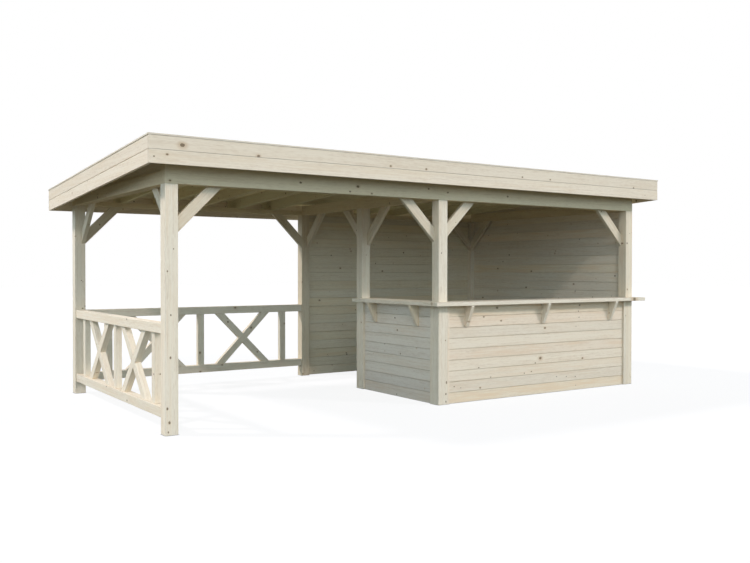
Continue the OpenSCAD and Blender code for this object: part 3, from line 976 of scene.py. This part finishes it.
@dataclass
class RoofEdge:
    """Two edge boards on each side of the roof and the trim along their top.

    Attributes:
        high: Height of the edge, trim included.
        low_board: Height of the lower board.
        seam: Joint between the two boards at the front and the back.
        side_seam: Joint between the two boards of a sloping side.
        trim: Height of the trim.
        arris: Radius of the eased arrises.
        knots: Chosen knots of the front's lower and upper board.
    """

    high: float = 0.243
    low_board: float = 0.114
    seam: float = 0.0025
    side_seam: float = 0.004
    trim: float = 0.014
    arris: float = 0.001
    knots: tuple[tuple[Knot, ...], ...] = (
        (Knot(-3.14, -0.003, 0.006), Knot(-3.03, 0.020, 0.008), Knot(2.95, -0.010, 0.005)),
        (Knot(-2.90, -0.010, 0.013), Knot(-2.21, -0.048, 0.010), Knot(-0.81, -0.036, 0.008),
         Knot(-0.38, -0.036, 0.008), Knot(0.92, -0.034, 0.007), Knot(1.34, -0.035, 0.007),
         Knot(2.74, -0.050, 0.008)))

    def spans(self, seam: float) -> tuple[Flat, Flat]:
        """Give the lower and upper edge of both boards, measured down from the top."""
        joint = self.high - self.low_board
        return (self.high, joint), (joint - seam, self.trim)

    def strip(self, x0: float, x1: float, y0: float, y1: float, top: float, span: Flat,
              tint: Tint = Tint.PALE) -> Timber:
        """Make a board along a sloping side.

        Args:
            x0: Left face.
            x1: Right face.
            y0: Front end.
            y1: Back end.
            top: Height of the edge at the front end.
            span: Lower and upper edge below the top.
            tint: Cast of the board.

        Returns:
            The board.
        """
        end = top - (y1 - y0) * FALL
        outline = [(y0, top - span[0]), (y1, end - span[0]), (y1, end - span[1]), (y0, top - span[1])]
        return Timber(Vector(), NORTH, UP, [(outline, x0, x1)], arris=self.arris, tint=tint)

    def build(self) -> None:
        """Build the edge boards of all four sides and the trims."""
        for name in ("fascia_front", "fascia_back"):
            low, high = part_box(name)
            top = high.z + self.trim
            boards = [beam(Vector((low.x, low.y, top - under)), Vector((high.x, high.y, top - over)), EAST,
                           arris=self.arris, tint=Tint.PALE, knots=knots if name == "fascia_front" else None)
                      for (under, over), knots in zip(self.spans(self.seam), self.knots)]
            WoodPiece(f"{name}.boards", EDGE_SPRUCE, "edge_board", boards).build(name)
        for name in ("fascia_left", "fascia_right"):
            low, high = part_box(name)
            boards = [self.strip(low.x, high.x, low.y, high.y, high.z + self.trim, span)
                      for span in self.spans(self.side_seam)]
            WoodPiece(f"{name}.boards", EDGE_SPRUCE, "edge_board", boards).build(name)
        low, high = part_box("edge_trim_long")
        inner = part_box("fascia_front")[1].y
        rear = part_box("fascia_back")[1].z + self.trim
        strips = [beam(Vector((low.x, y0, top - self.trim)), Vector((high.x, y1, top)), EAST,
                       arris=self.arris, tint=Tint.DULL)
                  for y0, y1, top in ((low.y, inner, high.z), (-inner, high.y, rear))]
        WoodPiece("edge_trim_long.strips", TRIM_SPRUCE, "edge_trim", strips).build("edge_trim_long")
        low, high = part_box("edge_trim_short")
        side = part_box("fascia_left")[1].x
        strips = [self.strip(x0, x1, low.y, high.y, high.z, (self.trim, 0.0), Tint.DULL)
                  for x0, x1 in ((low.x, side), (-side, high.x))]
        WoodPiece("edge_trim_short.strips", TRIM_SPRUCE, "edge_trim", strips).build("edge_trim_short")


@dataclass
class BoardWalls:
    """Walls of tongued boards with a batten at each end.

    Attributes:
        board_h: Cover height of a board.
        groove: Half width and depth of the groove between boards.
        tongue: Length and half thickness of a board's tongue.
        slack: Room past a tongue, and width of the top board's chamfers.
        gap: Open joint left at the bottom of a groove.
        batten_w: Width of a batten.
        batten_t: Thickness of a batten.
        arris: Radius of the battens' eased arrises.
        tints: Casts of the bar front's boards, from the ground up.
        knots: Chosen knots, by wall and by board from the ground up.
    """

    board_h: float = 0.114
    groove: float = 0.003
    tongue: Flat = (0.008, 0.003)
    slack: float = 0.001
    gap: float = 0.0025
    batten_w: float = 0.030
    batten_t: float = 0.021
    arris: float = 0.002
    tints: tuple[Tint, ...] = (Tint.TAN, Tint.COOL, Tint.PALE, Tint.PALE, Tint.PINK, Tint.PALE,
                               Tint.COOL, Tint.PINK, Tint.TAN)
    knots: dict[str, dict[int, tuple[Knot, ...]]] = field(default_factory=lambda: {
        "wall_bar_front": {
            0: (Knot(0.55, -0.01, 0.004),),
            1: (Knot(-1.29, 0.0, 0.006), Knot(-1.20, -0.02, 0.005), Knot(-0.93, -0.04, 0.008),
                Knot(0.23, 0.0, 0.005), Knot(0.39, -0.01, 0.005), Knot(0.54, -0.02, 0.005)),
            2: (Knot(-0.78, -0.05, 0.006), Knot(-0.28, -0.04, 0.006), Knot(-0.17, -0.03, 0.006)),
            3: (Knot(-0.95, -0.05, 0.006), Knot(-0.11, -0.05, 0.007), Knot(-0.03, 0.0, 0.012),
                Knot(0.66, -0.04, 0.009)),
            4: (),
            5: (),
            6: (Knot(0.04, 0.0, 0.009), Knot(0.55, 0.0, 0.005)),
            7: (Knot(-0.88, 0.04, 0.008), Knot(-0.63, -0.01, 0.008), Knot(0.60, -0.01, 0.006)),
            8: (Knot(-0.69, 0.02, 0.009), Knot(0.61, 0.02, 0.008), Knot(0.59, -0.05, 0.006))},
        "wall_bar_return": {6: (Knot(-0.02, -0.01, 0.008),)},
        "wall_back": {8: (Knot(-1.21, 0.02, 0.009),),
                      12: (Knot(-0.88, 0.0, 0.009), Knot(-0.18, -0.04, 0.009))},
        "wall_right": {8: (Knot(1.20, 0.02, 0.009),),
                       10: (Knot(-0.61, 0.02, 0.009), Knot(0.28, -0.04, 0.009)),
                       12: (Knot(0.87, 0.0, 0.009), Knot(0.18, -0.04, 0.009))}})

    def section(self, z0: float, z1: float, thick: float, last: bool) -> list[Flat]:
        """Draw the section of a board.

        Args:
            z0: Lower edge.
            z1: Upper edge.
            thick: Thickness.
            last: Whether it is the top board, which has no tongue.

        Returns:
            The outline as height and depth.
        """
        g, s, (t, h), m = self.groove, self.slack, self.tongue, thick / 2
        joint, deep = z1 - self.gap, z0 + t + s
        top = [(z1 - g, -m), (joint, g - m), (joint, -h), (z1 + t, -h), (z1 + t, h), (joint, h),
               (joint, m - g), (z1 - g, m)]
        if last:
            top = [(z1 - s, -m), (z1, s - m), (z1, m - s), (z1 - s, m)]
        foot = [(z0 + g, m), (z0, m - g), (z0, h), (deep, h), (deep, -h), (z0, -h), (z0, g - m), (z0 + g, -m)]
        return top + foot

    def wall(self, name: str, way: Vector) -> list[Timber]:
        """Make the boards of a wall.

        Args:
            name: Name of its solid.
            way: Way of the boards.

        Returns:
            The boards, from the ground up.
        """
        low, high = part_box(name)
        depth = way.cross(UP)
        thick = abs((high - low).dot(depth))
        middle = (low + high) / 2
        count = math.floor((high.z - 2 * self.groove) / self.board_h)
        edges = [i * self.board_h for i in range(count + 1)] + [high.z]
        origin = Vector((middle.x, middle.y, 0.0))
        half = abs((high - low).dot(way)) / 2
        tints = self.tints if name == "wall_bar_front" else [None] * len(edges)
        knots = self.knots.get(name, {})
        return [Timber(origin, way, UP, [(self.section(a, b, thick, b == edges[-1]), -half, half)],
                       cut=Cut.SECTION, arris=0.0, tint=tints[i], knots=knots.get(i))
                for i, (a, b) in enumerate(zip(edges, edges[1:]))]

    def build(self) -> None:
        """Build the four walls and their battens."""
        walls = (("wall_back", EAST, REAR_PAINTED_SHADE), ("wall_right", NORTH, WALL_SPRUCE),
                 ("wall_bar_front", EAST, FRONT_SPRUCE), ("wall_bar_return", NORTH, RETURN_PAINTED_SHADE))
        for name, way, finish in walls:
            WoodPiece(f"{name}.boards", finish, "wall_board", self.wall(name, way)).build(name)
        ends = {"battens_bar": (("wall_bar_front", EAST, -1), ("wall_bar_return", NORTH, -1)),
                "battens_rear": (("wall_back", EAST, 1), ("wall_right", NORTH, 1))}
        for name, faces in ends.items():
            strips = [strip for face in faces for strip in self.battens(*face)]
            WoodPiece(f"{name}.strips", WALL_SPRUCE, "wall_board", strips).build(name)

    def battens(self, name: str, way: Vector, side: int) -> list[Timber]:
        """Make the battens at both ends of a wall.

        Args:
            name: Solid of the wall.
            way: Way of its boards.
            side: Face of the wall, 1 towards larger and -1 towards smaller places.

        Returns:
            The two battens.
        """
        low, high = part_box(name)
        out = NORTH if way is EAST else EAST
        face = high.dot(out) if side > 0 else low.dot(out)
        near, far = sorted((face, face + side * self.batten_t))
        start, end = low.dot(way), high.dot(way)
        return [beam(a * way + near * out, b * way + far * out + high.z * UP, UP, arris=self.arris)
                for a, b in ((start, start + self.batten_w), (end - self.batten_w, end))]


@dataclass
class Counter:
    """Counter boards round the middle post and the brackets under them.

    Attributes:
        over: Overhang past both faces of the posts.
        bracket_t: Thickness of a bracket.
        bracket_d: Projection of a bracket.
        bracket_h: Height of a bracket.
        toe: Depth of a bracket at its foot.
        nose: Height of a bracket at its nose.
        inset: Place of the outer brackets from a post.
        arris: Radius of the eased arrises of boards and brackets.
        knot: Place of the front board's knot inside the right post, and its radius.
    """

    over: float = 0.100
    bracket_t: float = 0.040
    bracket_d: float = 0.117
    bracket_h: float = 0.228
    toe: float = 0.020
    nose: float = 0.015
    inset: float = 0.272
    arris: Flat = (0.004, 0.002)
    knot: Flat = (0.075, 0.016)

    def board(self, outline: Sequence[Flat], way: Vector, low: float, high: float,
              knots: tuple[Knot, ...] | None = None) -> Timber:
        """Make one counter board from its plan.

        Args:
            outline: Plan as places along X and Y.
            way: Way of the grain.
            low: Height of the underside.
            high: Height of the top.
            knots: Chosen knots, or None to leave them to chance.

        Returns:
            The board.
        """
        wide = UP.cross(way)
        flat = [(Vector((x, y, 0.0)).dot(way), Vector((x, y, 0.0)).dot(wide)) for x, y in outline]
        return Timber(Vector(), way, wide, [(flat, low, high)], arris=self.arris[0], tint=Tint.PALE,
                      knots=knots)

    def build(self) -> None:
        """Build both counters and their brackets."""
        m0, m1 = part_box("post_front_middle")
        r0, r1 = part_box("post_front_right")
        e0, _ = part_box("post_bar_return")
        c0, c1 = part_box("counter_front")
        _, d1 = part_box("counter_return")
        z0, z1, k = c0.z, c1.z, self.over
        knot = Knot(r1.x - self.knot[0] - (m0.x - k + c1.x) / 2, -k / 2, self.knot[1])
        boards = [
            self.board([(m0.x - k, m0.y - k), (c1.x, m0.y - k), (c1.x, m0.y), (m0.x, m0.y)], EAST, z0, z1,
                       (knot,)),
            self.board(oblong(m1.x, m0.y, r0.x, m1.y), EAST, z0, z1),
            self.board(oblong(r1.x, m0.y, c1.x, m1.y), EAST, z0, z1),
            self.board([(m1.x, m1.y), (r0.x, m1.y), (r0.x, m1.y + k), (m1.x + k, m1.y + k)], EAST, z0, z1)]
        WoodPiece("counter_front.boards", COUNTER_SPRUCE, "counter_board", boards).build("counter_front")
        boards = [
            self.board([(m0.x - k, m0.y - k), (m0.x, m0.y), (m0.x, d1.y), (m0.x - k, d1.y)], NORTH, z0, z1),
            self.board(oblong(m0.x, m1.y, m1.x, e0.y), NORTH, z0, z1),
            self.board([(m1.x, m1.y), (m1.x + k, m1.y + k), (m1.x + k, d1.y), (m1.x, d1.y)], NORTH, z0, z1)]
        WoodPiece("counter_return.boards", COUNTER_SPRUCE, "counter_board", boards).build("counter_return")
        self.brackets("brackets_front", "wall_bar_front", EAST, -NORTH, z0)
        self.brackets("brackets_return", "wall_bar_return", NORTH, -EAST, z0)

    def brackets(self, name: str, wall: str, way: Vector, out: Vector, top: float) -> None:
        """Build the brackets on a wall.

        Args:
            name: Name of their solid.
            wall: Solid of the wall.
            way: Way of the wall.
            out: Way in which they project.
            top: Height of the counter's underside.
        """
        low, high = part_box(wall)
        a, b = low.dot(way) + self.inset, high.dot(way) - self.inset
        places = (a, (a + b) / 2, b) if way is EAST else (a, b)
        face = max(low.dot(out), high.dot(out))
        outline = [(0.0, 0.0), (0.0, self.bracket_d), (-self.nose, self.bracket_d),
                   (-self.bracket_h, self.toe), (-self.bracket_h, 0.0)]
        half = self.bracket_t / 2
        blocks = [Timber(place * way + face * out + top * UP, UP, out, [(outline, -half, half)],
                         arris=self.arris[1]) for place in places]
        WoodPiece(f"{name}.blocks", COUNTER_SPRUCE, "counter_board", blocks).build(name)


@dataclass
class Railing:
    """Crossed railing between two posts.

    Attributes:
        name: Stem of its solids' names.
        way: Way along the railing.
        rail_h: Height of the rails.
        infill_w: Width of uprights and diagonals.
        infill_d: Depth of uprights and diagonals.
        inset: Place of the outer uprights from a post.
        run: Run of a diagonal.
        arris: Radius of the eased arrises of rails and uprights.
        cross_arris: Radius of the eased arrises of diagonals.
        knots: Chosen knots of the foot and head rail, an upright or a diagonal.
    """

    name: str
    way: Vector
    rail_h: float = 0.090
    infill_w: float = 0.080
    infill_d: float = 0.060
    inset: float = 0.272
    run: float = 0.622
    arris: float = 0.004
    cross_arris: float = 0.0025
    knots: dict[str, tuple[Knot, ...]] = field(default_factory=dict)

    def __post_init__(self) -> None:
        """Read the railing's place from its rails."""
        low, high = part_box(f"{self.name}_rails")
        middle = (low + high) / 2
        self.long = abs((high - low).dot(self.way))
        self.origin = middle - self.way * self.long / 2
        self.origin.z = 0.0
        self.foot, self.head = low.z + self.rail_h, high.z - self.rail_h
        self.places = (self.inset, self.long / 2, self.long - self.inset)

    def diagonal(self, middle: float, lean: Lean, knots: tuple[Knot, ...] | None) -> Timber:
        """Make one diagonal, halved into the other at the crossing.

        Args:
            middle: Place of the crossing along the railing.
            lean: Way in which it climbs.
            knots: Its chosen knots, if any.

        Returns:
            The diagonal.
        """
        gap = self.head - self.foot
        cut = self.infill_w / math.sin(math.atan(gap / self.run)) / 2
        start = -self.run / 2
        rise = cut * gap / self.run
        mid = gap / 2
        lower = [(start - cut, 0.0), (start + cut, 0.0), (0.0, mid - rise), (-cut, mid)]
        cross = [(-cut, mid), (0.0, mid - rise), (cut, mid), (0.0, mid + rise)]
        upper = [(0.0, mid + rise), (cut, mid), (cut - start, gap), (-start - cut, gap)]
        lean_way = lean.value * self.way
        long = (self.run * lean_way + gap * UP).normalized()
        wide = (-gap * lean_way + self.run * UP).normalized()

        def turned(outline: Sequence[Flat]) -> list[Flat]:
            """Turn an outline into the diagonal's own length and width."""
            spots = [x * lean_way + z * UP for x, z in outline]
            return [(p.dot(long), p.dot(wide)) for p in spots]

        half = self.infill_d / 2
        inner = 1.0 if long.cross(wide).dot(self.way.cross(UP)) > 0 else -1.0
        kept = inner if lean is Lean.RISING else -inner
        layers = [(-half, 0.0), (0.0, half)]
        cells = [(turned(part), *layer) for part in (lower, upper) for layer in layers]
        cells.append((turned(cross), *layers[1 if kept > 0 else 0]))
        return Timber(self.origin + middle * self.way + self.foot * UP, long, wide, cells,
                      arris=self.cross_arris, tint=Tint.PALE, knots=knots)

    def build(self) -> None:
        """Build rails, uprights and diagonals."""
        name = self.name
        low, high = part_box(f"{name}_rails")
        rails = [beam(Vector((low.x, low.y, z0)), Vector((high.x, high.y, z1)), self.way, arris=self.arris,
                      heart=Heart.BOXED, tint=Tint.PALE, knots=self.knots.get(part))
                 for part, z0, z1 in (("foot", low.z, self.foot), ("head", self.head, high.z))]
        half = self.infill_d / 2
        outline = oblong(0.0, -self.infill_w / 2, self.head - self.foot, self.infill_w / 2)
        uprights = [Timber(self.origin + place * self.way + self.foot * UP, UP, self.way,
                           [(outline, -half, half)], arris=self.arris, tint=Tint.PALE,
                           knots=self.knots.get(f"upright_{i}")) for i, place in enumerate(self.places)]
        parts = {"rails": rails, "uprights": uprights}
        crossings = [(a + b) / 2 for a, b in zip(self.places, self.places[1:])]
        for lean in Lean:
            stem = lean.name.lower()
            parts[stem] = [self.diagonal(place, lean, self.knots.get(f"{stem}_{i}"))
                           for i, place in enumerate(crossings)]
        for stem, timbers in parts.items():
            WoodPiece(f"{name}_{stem}.timber", RAIL_SPRUCE, "railing_timber", timbers).build(f"{name}_{stem}")


# Chosen knots of the left and the back railing.
LEFT_KNOTS = {"head": (Knot(-0.442, 0.033, 0.007),),
              "foot": (Knot(0.235, 0.036, 0.007), Knot(-0.443, -0.020, 0.008))}
BACK_KNOTS = {"head": (Knot(0.448, 0.025, 0.010),),
              "foot": (Knot(-0.019, -0.034, 0.009), Knot(0.271, 0.031, 0.008)),
              "upright_1": (Knot(-0.161, -0.016, 0.009),),
              "rising_1": (Knot(0.165, 0.007, 0.010),)}


@dataclass(frozen=True)
class Lamp:
    """Far lamp of the studio.

    Attributes:
        name: Name of the lamp.
        turn: Turn off the front, in degrees.
        rise: Height over the ground, in degrees.
        strength: Strength of its light.
        spread: Width of the lamp, in degrees.
        colour: Colour of its light.
    """

    name: str
    turn: float
    rise: float
    strength: float
    spread: float
    colour: Colour

    def build(self) -> None:
        """Hang the lamp."""
        turn, rise = math.radians(self.turn), math.radians(self.rise)
        way = Vector((math.sin(turn) * math.cos(rise), -math.cos(turn) * math.cos(rise), math.sin(rise)))
        data = bpy.data.lights.new(self.name, "SUN")
        data.energy, data.angle, data.color = self.strength, math.radians(self.spread), self.colour
        lamp = bpy.data.objects.new(self.name, data)
        lamp.rotation_euler = way.to_track_quat("Z", "Y").to_euler()
        bpy.context.scene.collection.objects.link(lamp)


@dataclass
class Studio:
    """Floor, light and camera.

    Attributes:
        eye: Place of the camera.
        turn: Turn of the camera, in degrees.
        lens: Focal length.
        sensor: Width of the camera's sensor.
        sight: Distance up to which the camera sees.
        lamps: Lamps at the rear left, the front right and the front left.
        sky: Colour of the surroundings' light.
        ring: Strength of the surroundings at mid height.
        low: Turn off the front and strength of each low part of the surroundings.
        horizon: Heights between which the low parts begin.
        shoulder: Heights between which the low parts give way to the ring.
        crown: Heights between which the ring ends.
        bounce: Share of the light that the floor throws back at the object.
        shade: Share of the floor's brightness that a shadow takes away.
        contact: Reach of the painted contact shade, a dark line where the object meets the floor.
        floor_half: Half width of the floor.
        floor_drop: Depth of the floor below the object's feet.
    """

    eye: Triple = (-5.41838, -8.33429, 1.40142)
    turn: Triple = (89.2252, -0.0554, -33.8308)
    lens: float = 40.0972
    sensor: float = 36.0
    sight: float = 200.0
    lamps: tuple[Lamp, ...] = (
        Lamp("key", -125.5, 43.4, 2.24, 5.5, (1.0, 0.932, 0.968)),
        Lamp("fill", 39.7, 28.2, 1.35, 3.0, (1.0, 0.918, 0.950)),
        Lamp("side", -34.6, 33.8, 0.46, 1.6, (1.0, 0.932, 0.968)))
    sky: Colour = (0.69, 0.858, 1.0)
    ring: float = 0.78
    low: tuple[Flat, ...] = ((60.0, 2.60), (-60.0, 1.85), (-15.0, 0.50), (180.0, 3.3))
    horizon: Flat = (-0.06, 0.06)
    shoulder: Flat = (0.34, 0.46)
    crown: Flat = (0.69, 0.81)
    bounce: Colour = (0.120, 0.122, 0.096)
    shade: float = 0.12
    contact: float = 0.02
    floor_half: float = 60.0
    floor_drop: float = 0.0005

    def camera(self) -> None:
        """Place the camera."""
        data = bpy.data.cameras.new("camera")
        data.lens, data.sensor_width, data.sensor_fit = self.lens, self.sensor, "HORIZONTAL"
        data.clip_end = self.sight
        camera = bpy.data.objects.new("camera", data)
        camera.location = self.eye
        camera.rotation_euler = [math.radians(a) for a in self.turn]
        bpy.context.scene.collection.objects.link(camera)
        bpy.context.scene.camera = camera

    def surroundings(self) -> None:
        """Put pale surroundings round the object, which look white."""
        world = bpy.data.worlds.new("surroundings")
        bpy.context.scene.world = world
        world.use_nodes = True
        s = NodeSheet(world.node_tree)
        soft = s.node("Background", Color=self.sky, Strength=self.level(s))
        plain = s.node("Background", Color=(1.0, 1.0, 1.0))
        both = s.fill(s.node("MixShader"), self.seen(s), soft.outputs[0], plain.outputs[0])
        s.node("OutputWorld", Surface=both)

    def level(self, s: NodeSheet) -> Socket:
        """Write how bright the surroundings are from each side.

        Args:
            s: Node tree.

        Returns:
            The strength, most low down at the sides and the back, nil overhead.
        """
        way = s.node("TexCoord").outputs["Generated"]
        x, y, z = s.split(way)
        across = s.join(x, y, 0.0)
        # A least length keeps the division below whole straight overhead.
        flat = s.sum("MAXIMUM", s.vec("LENGTH", across), 0.001)
        shoulder = s.step(z, *self.shoulder)
        total = s.sum("MULTIPLY", s.sum("SUBTRACT", shoulder, s.step(z, *self.crown)), self.ring)
        lower = s.sum("SUBTRACT", s.step(z, *self.horizon), shoulder)
        for turn, strength in self.low:
            angle = math.radians(turn)
            side = s.vec("DOT_PRODUCT", across, (math.sin(angle), -math.cos(angle), 0.0))
            side = s.sum("MAXIMUM", s.sum("DIVIDE", side, flat), 0.0)
            lobe = s.sum("MULTIPLY", s.sum("POWER", side, 2.0), strength)
            total = s.sum("MULTIPLY_ADD", lobe, lower, total)
        return total

    def seen(self, s: NodeSheet) -> Socket:
        """Tell rays that show the background from those that light the object.

        Args:
            s: Node tree.

        Returns:
            1 for camera, glossy and transmission rays.
        """
        path = s.node("LightPath").outputs
        shine = s.sum("MAXIMUM", path["Is Glossy Ray"], path["Is Transmission Ray"])
        return s.sum("MAXIMUM", path["Is Camera Ray"], shine)

    def floor(self) -> None:
        """Lay the pale floor, which shows the object's shadow."""
        mesh = bpy.data.meshes.new("floor")
        half = self.floor_half
        corners = [(x, y, -self.floor_drop) for x, y in oblong(-half, -half, half, half)]
        mesh.from_pydata(corners, [], [(0, 1, 2, 3)])
        floor = bpy.data.objects.new("floor", mesh)
        bpy.context.scene.collection.objects.link(floor)
        material = bpy.data.materials.new("pale_floor")
        material.use_nodes = True
        s = NodeSheet(material.node_tree)
        dull = s.node("BsdfDiffuse", Color=self.bounce)
        pale = s.node("BsdfDiffuse", Color=(self.shade, self.shade, self.shade))
        # The floor's glow darkens close to the object: painted contact shade.
        close = s.node("AmbientOcclusion", Distance=self.contact)
        glow = s.node("Emission", Color=close.outputs["Color"], Strength=1.0 - self.shade)
        shown = s.fill(s.node("AddShader"), pale.outputs[0], glow.outputs[0])
        both = s.fill(s.node("MixShader"), self.seen(s), dull.outputs[0], shown)
        s.node("OutputMaterial", Surface=both)
        mesh.materials.append(material)

    def build(self) -> None:
        """Set the stage."""
        self.camera()
        for lamp in self.lamps:
            lamp.build()
        self.surroundings()
        self.floor()
        bpy.context.scene.view_settings.view_transform = "Standard"


def main() -> None:
    """Build every part of the gazebo."""
    logging.basicConfig(level=logging.INFO, format="%(name)s %(message)s")
    for part in (Studio(), Posts(), Beams(), Braces(), Roof(), RoofEdge(), BoardWalls(), Counter(),
                 Railing("railing_left", NORTH, knots=LEFT_KNOTS),
                 Railing("railing_back", EAST, knots=BACK_KNOTS)):
        part.build()
        LOG.info("finished %s", type(part).__name__)


if __name__ == "__main__":
    main()
